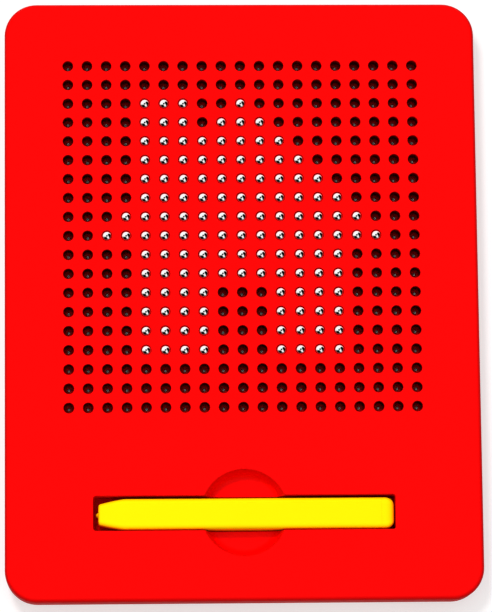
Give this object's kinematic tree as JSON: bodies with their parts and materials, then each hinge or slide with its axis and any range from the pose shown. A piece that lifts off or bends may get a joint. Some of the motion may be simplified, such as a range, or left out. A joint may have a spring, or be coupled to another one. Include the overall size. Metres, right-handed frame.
{
  "type": "magnetic drawing board",
  "caption": "Flat drawing board with a square field of holes. A magnet in its stylus lifts steel beads to the face to draw, and a finger pushes them down to erase.",
  "frame": {"origin": "middle of the back, on the surface that the board lies on", "axes": "+X to the right of the face, +Y from the stylus trough towards the field of holes, +Z out of the face"},
  "size_m": [0.1476, 0.188, 0.012],
  "materials": {
    "case_plastic": "smooth satin red ABS",
    "tray_plastic": "red moulded plastic",
    "magnet_rubber": "black flexible magnet sheet",
    "bead_steel": "polished steel balls",
    "screw_steel": "zinc-plated steel",
    "stylus_plastic": "smooth satin yellow ABS",
    "magnet_nickel": "nickel-plated rod magnet"
  },
  "bodies": {
    "case": {"front_cover": "case_plastic", "back_cover": "case_plastic", "bead_tray": "tray_plastic", "magnet_sheet": "magnet_rubber", "case_screw_bottom_left": "screw_steel", "case_screw_bottom_right": "screw_steel", "case_screw_top_left": "screw_steel", "case_screw_top_right": "screw_steel"},
    "stylus": {"stylus_barrel": "stylus_plastic", "stylus_end_cap": "stylus_plastic", "stylus_magnet": "magnet_nickel"},
    "lowered_column_01_rows_01_19": {"beads_lowered_column_01_rows_01_19": "bead_steel"},
    "lowered_column_02_rows_01_19": {"beads_lowered_column_02_rows_01_19": "bead_steel"},
    "lowered_column_03_rows_01_09": {"beads_lowered_column_03_rows_01_09": "bead_steel"},
    "raised_column_03_rows_10_10": {"beads_raised_column_03_rows_10_10": "bead_steel"},
    "lowered_column_03_rows_11_19": {"beads_lowered_column_03_rows_11_19": "bead_steel"},
    "lowered_column_04_rows_01_08": {"beads_lowered_column_04_rows_01_08": "bead_steel"},
    "raised_column_04_rows_09_10": {"beads_raised_column_04_rows_09_10": "bead_steel"},
    "lowered_column_04_rows_11_19": {"beads_lowered_column_04_rows_11_19": "bead_steel"},
    "lowered_column_05_rows_01_02": {"beads_lowered_column_05_rows_01_02": "bead_steel"},
    "raised_column_05_rows_03_16": {"beads_raised_column_05_rows_03_16": "bead_steel"},
    "lowered_column_05_rows_17_19": {"beads_lowered_column_05_rows_17_19": "bead_steel"},
    "lowered_column_06_rows_01_02": {"beads_lowered_column_06_rows_01_02": "bead_steel"},
    "raised_column_06_rows_03_16": {"beads_raised_column_06_rows_03_16": "bead_steel"},
    "lowered_column_06_rows_17_19": {"beads_lowered_column_06_rows_17_19": "bead_steel"},
    "lowered_column_07_rows_01_02": {"beads_lowered_column_07_rows_01_02": "bead_steel"},
    "raised_column_07_rows_03_16": {"beads_raised_column_07_rows_03_16": "bead_steel"},
    "lowered_column_07_rows_17_19": {"beads_lowered_column_07_rows_17_19": "bead_steel"},
    "lowered_column_08_rows_01_04": {"beads_lowered_column_08_rows_01_04": "bead_steel"},
    "raised_column_08_rows_05_16": {"beads_raised_column_08_rows_05_16": "bead_steel"},
    "lowered_column_08_rows_17_19": {"beads_lowered_column_08_rows_17_19": "bead_steel"},
    "lowered_column_09_rows_01_03": {"beads_lowered_column_09_rows_01_03": "bead_steel"},
    "raised_column_09_rows_04_12": {"beads_raised_column_09_rows_04_12": "bead_steel"},
    "lowered_column_09_rows_13_19": {"beads_lowered_column_09_rows_13_19": "bead_steel"},
    "lowered_column_10_rows_01_02": {"beads_lowered_column_10_rows_01_02": "bead_steel"},
    "raised_column_10_rows_03_12": {"beads_raised_column_10_rows_03_12": "bead_steel"},
    "lowered_column_10_rows_13_19": {"beads_lowered_column_10_rows_13_19": "bead_steel"},
    "lowered_column_11_rows_01_03": {"beads_lowered_column_11_rows_01_03": "bead_steel"},
    "raised_column_11_rows_04_12": {"beads_raised_column_11_rows_04_12": "bead_steel"},
    "lowered_column_11_rows_13_19": {"beads_lowered_column_11_rows_13_19": "bead_steel"},
    "lowered_column_12_rows_01_04": {"beads_lowered_column_12_rows_01_04": "bead_steel"},
    "raised_column_12_rows_05_16": {"beads_raised_column_12_rows_05_16": "bead_steel"},
    "lowered_column_12_rows_17_19": {"beads_lowered_column_12_rows_17_19": "bead_steel"},
    "lowered_column_13_rows_01_05": {"beads_lowered_column_13_rows_01_05": "bead_steel"},
    "raised_column_13_rows_06_16": {"beads_raised_column_13_rows_06_16": "bead_steel"},
    "lowered_column_13_rows_17_19": {"beads_lowered_column_13_rows_17_19": "bead_steel"},
    "lowered_column_14_rows_01_06": {"beads_lowered_column_14_rows_01_06": "bead_steel"},
    "raised_column_14_rows_07_16": {"beads_raised_column_14_rows_07_16": "bead_steel"},
    "lowered_column_14_rows_17_19": {"beads_lowered_column_14_rows_17_19": "bead_steel"},
    "lowered_column_15_rows_01_07": {"beads_lowered_column_15_rows_01_07": "bead_steel"},
    "raised_column_15_rows_08_16": {"beads_raised_column_15_rows_08_16": "bead_steel"},
    "lowered_column_15_rows_17_19": {"beads_lowered_column_15_rows_17_19": "bead_steel"},
    "lowered_column_16_rows_01_08": {"beads_lowered_column_16_rows_01_08": "bead_steel"},
    "raised_column_16_rows_09_10": {"beads_raised_column_16_rows_09_10": "bead_steel"},
    "lowered_column_16_rows_11_19": {"beads_lowered_column_16_rows_11_19": "bead_steel"},
    "lowered_column_17_rows_01_09": {"beads_lowered_column_17_rows_01_09": "bead_steel"},
    "raised_column_17_rows_10_10": {"beads_raised_column_17_rows_10_10": "bead_steel"},
    "lowered_column_17_rows_11_19": {"beads_lowered_column_17_rows_11_19": "bead_steel"},
    "lowered_column_18_rows_01_19": {"beads_lowered_column_18_rows_01_19": "bead_steel"},
    "lowered_column_19_rows_01_19": {"beads_lowered_column_19_rows_01_19": "bead_steel"}
  },
  "joints": [
    {"name": "stylus_lift", "type": "slide", "parent": "case", "child": "stylus", "axis": [0, 0, 1], "range_m": [0, 0.03]},
    {"name": "lowered_column_01_rows_01_19_slide", "type": "slide", "parent": "case", "child": "lowered_column_01_rows_01_19", "axis": [0, 0, 1], "range_m": [0, 0.0042]},
    {"name": "lowered_column_02_rows_01_19_slide", "type": "slide", "parent": "case", "child": "lowered_column_02_rows_01_19", "axis": [0, 0, 1], "range_m": [0, 0.0042]},
    {"name": "lowered_column_03_rows_01_09_slide", "type": "slide", "parent": "case", "child": "lowered_column_03_rows_01_09", "axis": [0, 0, 1], "range_m": [0, 0.0042]},
    {"name": "raised_column_03_rows_10_10_slide", "type": "slide", "parent": "case", "child": "raised_column_03_rows_10_10", "axis": [0, 0, 1], "range_m": [-0.0042, 0]},
    {"name": "lowered_column_03_rows_11_19_slide", "type": "slide", "parent": "case", "child": "lowered_column_03_rows_11_19", "axis": [0, 0, 1], "range_m": [0, 0.0042]},
    {"name": "lowered_column_04_rows_01_08_slide", "type": "slide", "parent": "case", "child": "lowered_column_04_rows_01_08", "axis": [0, 0, 1], "range_m": [0, 0.0042]},
    {"name": "raised_column_04_rows_09_10_slide", "type": "slide", "parent": "case", "child": "raised_column_04_rows_09_10", "axis": [0, 0, 1], "range_m": [-0.0042, 0]},
    {"name": "lowered_column_04_rows_11_19_slide", "type": "slide", "parent": "case", "child": "lowered_column_04_rows_11_19", "axis": [0, 0, 1], "range_m": [0, 0.0042]},
    {"name": "lowered_column_05_rows_01_02_slide", "type": "slide", "parent": "case", "child": "lowered_column_05_rows_01_02", "axis": [0, 0, 1], "range_m": [0, 0.0042]},
    {"name": "raised_column_05_rows_03_16_slide", "type": "slide", "parent": "case", "child": "raised_column_05_rows_03_16", "axis": [0, 0, 1], "range_m": [-0.0042, 0]},
    {"name": "lowered_column_05_rows_17_19_slide", "type": "slide", "parent": "case", "child": "lowered_column_05_rows_17_19", "axis": [0, 0, 1], "range_m": [0, 0.0042]},
    {"name": "lowered_column_06_rows_01_02_slide", "type": "slide", "parent": "case", "child": "lowered_column_06_rows_01_02", "axis": [0, 0, 1], "range_m": [0, 0.0042]},
    {"name": "raised_column_06_rows_03_16_slide", "type": "slide", "parent": "case", "child": "raised_column_06_rows_03_16", "axis": [0, 0, 1], "range_m": [-0.0042, 0]},
    {"name": "lowered_column_06_rows_17_19_slide", "type": "slide", "parent": "case", "child": "lowered_column_06_rows_17_19", "axis": [0, 0, 1], "range_m": [0, 0.0042]},
    {"name": "lowered_column_07_rows_01_02_slide", "type": "slide", "parent": "case", "child": "lowered_column_07_rows_01_02", "axis": [0, 0, 1], "range_m": [0, 0.0042]},
    {"name": "raised_column_07_rows_03_16_slide", "type": "slide", "parent": "case", "child": "raised_column_07_rows_03_16", "axis": [0, 0, 1], "range_m": [-0.0042, 0]},
    {"name": "lowered_column_07_rows_17_19_slide", "type": "slide", "parent": "case", "child": "lowered_column_07_rows_17_19", "axis": [0, 0, 1], "range_m": [0, 0.0042]},
    {"name": "lowered_column_08_rows_01_04_slide", "type": "slide", "parent": "case", "child": "lowered_column_08_rows_01_04", "axis": [0, 0, 1], "range_m": [0, 0.0042]},
    {"name": "raised_column_08_rows_05_16_slide", "type": "slide", "parent": "case", "child": "raised_column_08_rows_05_16", "axis": [0, 0, 1], "range_m": [-0.0042, 0]},
    {"name": "lowered_column_08_rows_17_19_slide", "type": "slide", "parent": "case", "child": "lowered_column_08_rows_17_19", "axis": [0, 0, 1], "range_m": [0, 0.0042]},
    {"name": "lowered_column_09_rows_01_03_slide", "type": "slide", "parent": "case", "child": "lowered_column_09_rows_01_03", "axis": [0, 0, 1], "range_m": [0, 0.0042]},
    {"name": "raised_column_09_rows_04_12_slide", "type": "slide", "parent": "case", "child": "raised_column_09_rows_04_12", "axis": [0, 0, 1], "range_m": [-0.0042, 0]},
    {"name": "lowered_column_09_rows_13_19_slide", "type": "slide", "parent": "case", "child": "lowered_column_09_rows_13_19", "axis": [0, 0, 1], "range_m": [0, 0.0042]},
    {"name": "lowered_column_10_rows_01_02_slide", "type": "slide", "parent": "case", "child": "lowered_column_10_rows_01_02", "axis": [0, 0, 1], "range_m": [0, 0.0042]},
    {"name": "raised_column_10_rows_03_12_slide", "type": "slide", "parent": "case", "child": "raised_column_10_rows_03_12", "axis": [0, 0, 1], "range_m": [-0.0042, 0]},
    {"name": "lowered_column_10_rows_13_19_slide", "type": "slide", "parent": "case", "child": "lowered_column_10_rows_13_19", "axis": [0, 0, 1], "range_m": [0, 0.0042]},
    {"name": "lowered_column_11_rows_01_03_slide", "type": "slide", "parent": "case", "child": "lowered_column_11_rows_01_03", "axis": [0, 0, 1], "range_m": [0, 0.0042]},
    {"name": "raised_column_11_rows_04_12_slide", "type": "slide", "parent": "case", "child": "raised_column_11_rows_04_12", "axis": [0, 0, 1], "range_m": [-0.0042, 0]},
    {"name": "lowered_column_11_rows_13_19_slide", "type": "slide", "parent": "case", "child": "lowered_column_11_rows_13_19", "axis": [0, 0, 1], "range_m": [0, 0.0042]},
    {"name": "lowered_column_12_rows_01_04_slide", "type": "slide", "parent": "case", "child": "lowered_column_12_rows_01_04", "axis": [0, 0, 1], "range_m": [0, 0.0042]},
    {"name": "raised_column_12_rows_05_16_slide", "type": "slide", "parent": "case", "child": "raised_column_12_rows_05_16", "axis": [0, 0, 1], "range_m": [-0.0042, 0]},
    {"name": "lowered_column_12_rows_17_19_slide", "type": "slide", "parent": "case", "child": "lowered_column_12_rows_17_19", "axis": [0, 0, 1], "range_m": [0, 0.0042]},
    {"name": "lowered_column_13_rows_01_05_slide", "type": "slide", "parent": "case", "child": "lowered_column_13_rows_01_05", "axis": [0, 0, 1], "range_m": [0, 0.0042]},
    {"name": "raised_column_13_rows_06_16_slide", "type": "slide", "parent": "case", "child": "raised_column_13_rows_06_16", "axis": [0, 0, 1], "range_m": [-0.0042, 0]},
    {"name": "lowered_column_13_rows_17_19_slide", "type": "slide", "parent": "case", "child": "lowered_column_13_rows_17_19", "axis": [0, 0, 1], "range_m": [0, 0.0042]},
    {"name": "lowered_column_14_rows_01_06_slide", "type": "slide", "parent": "case", "child": "lowered_column_14_rows_01_06", "axis": [0, 0, 1], "range_m": [0, 0.0042]},
    {"name": "raised_column_14_rows_07_16_slide", "type": "slide", "parent": "case", "child": "raised_column_14_rows_07_16", "axis": [0, 0, 1], "range_m": [-0.0042, 0]},
    {"name": "lowered_column_14_rows_17_19_slide", "type": "slide", "parent": "case", "child": "lowered_column_14_rows_17_19", "axis": [0, 0, 1], "range_m": [0, 0.0042]},
    {"name": "lowered_column_15_rows_01_07_slide", "type": "slide", "parent": "case", "child": "lowered_column_15_rows_01_07", "axis": [0, 0, 1], "range_m": [0, 0.0042]},
    {"name": "raised_column_15_rows_08_16_slide", "type": "slide", "parent": "case", "child": "raised_column_15_rows_08_16", "axis": [0, 0, 1], "range_m": [-0.0042, 0]},
    {"name": "lowered_column_15_rows_17_19_slide", "type": "slide", "parent": "case", "child": "lowered_column_15_rows_17_19", "axis": [0, 0, 1], "range_m": [0, 0.0042]},
    {"name": "lowered_column_16_rows_01_08_slide", "type": "slide", "parent": "case", "child": "lowered_column_16_rows_01_08", "axis": [0, 0, 1], "range_m": [0, 0.0042]},
    {"name": "raised_column_16_rows_09_10_slide", "type": "slide", "parent": "case", "child": "raised_column_16_rows_09_10", "axis": [0, 0, 1], "range_m": [-0.0042, 0]},
    {"name": "lowered_column_16_rows_11_19_slide", "type": "slide", "parent": "case", "child": "lowered_column_16_rows_11_19", "axis": [0, 0, 1], "range_m": [0, 0.0042]},
    {"name": "lowered_column_17_rows_01_09_slide", "type": "slide", "parent": "case", "child": "lowered_column_17_rows_01_09", "axis": [0, 0, 1], "range_m": [0, 0.0042]},
    {"name": "raised_column_17_rows_10_10_slide", "type": "slide", "parent": "case", "child": "raised_column_17_rows_10_10", "axis": [0, 0, 1], "range_m": [-0.0042, 0]},
    {"name": "lowered_column_17_rows_11_19_slide", "type": "slide", "parent": "case", "child": "lowered_column_17_rows_11_19", "axis": [0, 0, 1], "range_m": [0, 0.0042]},
    {"name": "lowered_column_18_rows_01_19_slide", "type": "slide", "parent": "case", "child": "lowered_column_18_rows_01_19", "axis": [0, 0, 1], "range_m": [0, 0.0042]},
    {"name": "lowered_column_19_rows_01_19_slide", "type": "slide", "parent": "case", "child": "lowered_column_19_rows_01_19", "axis": [0, 0, 1], "range_m": [0, 0.0042]}
  ]
}
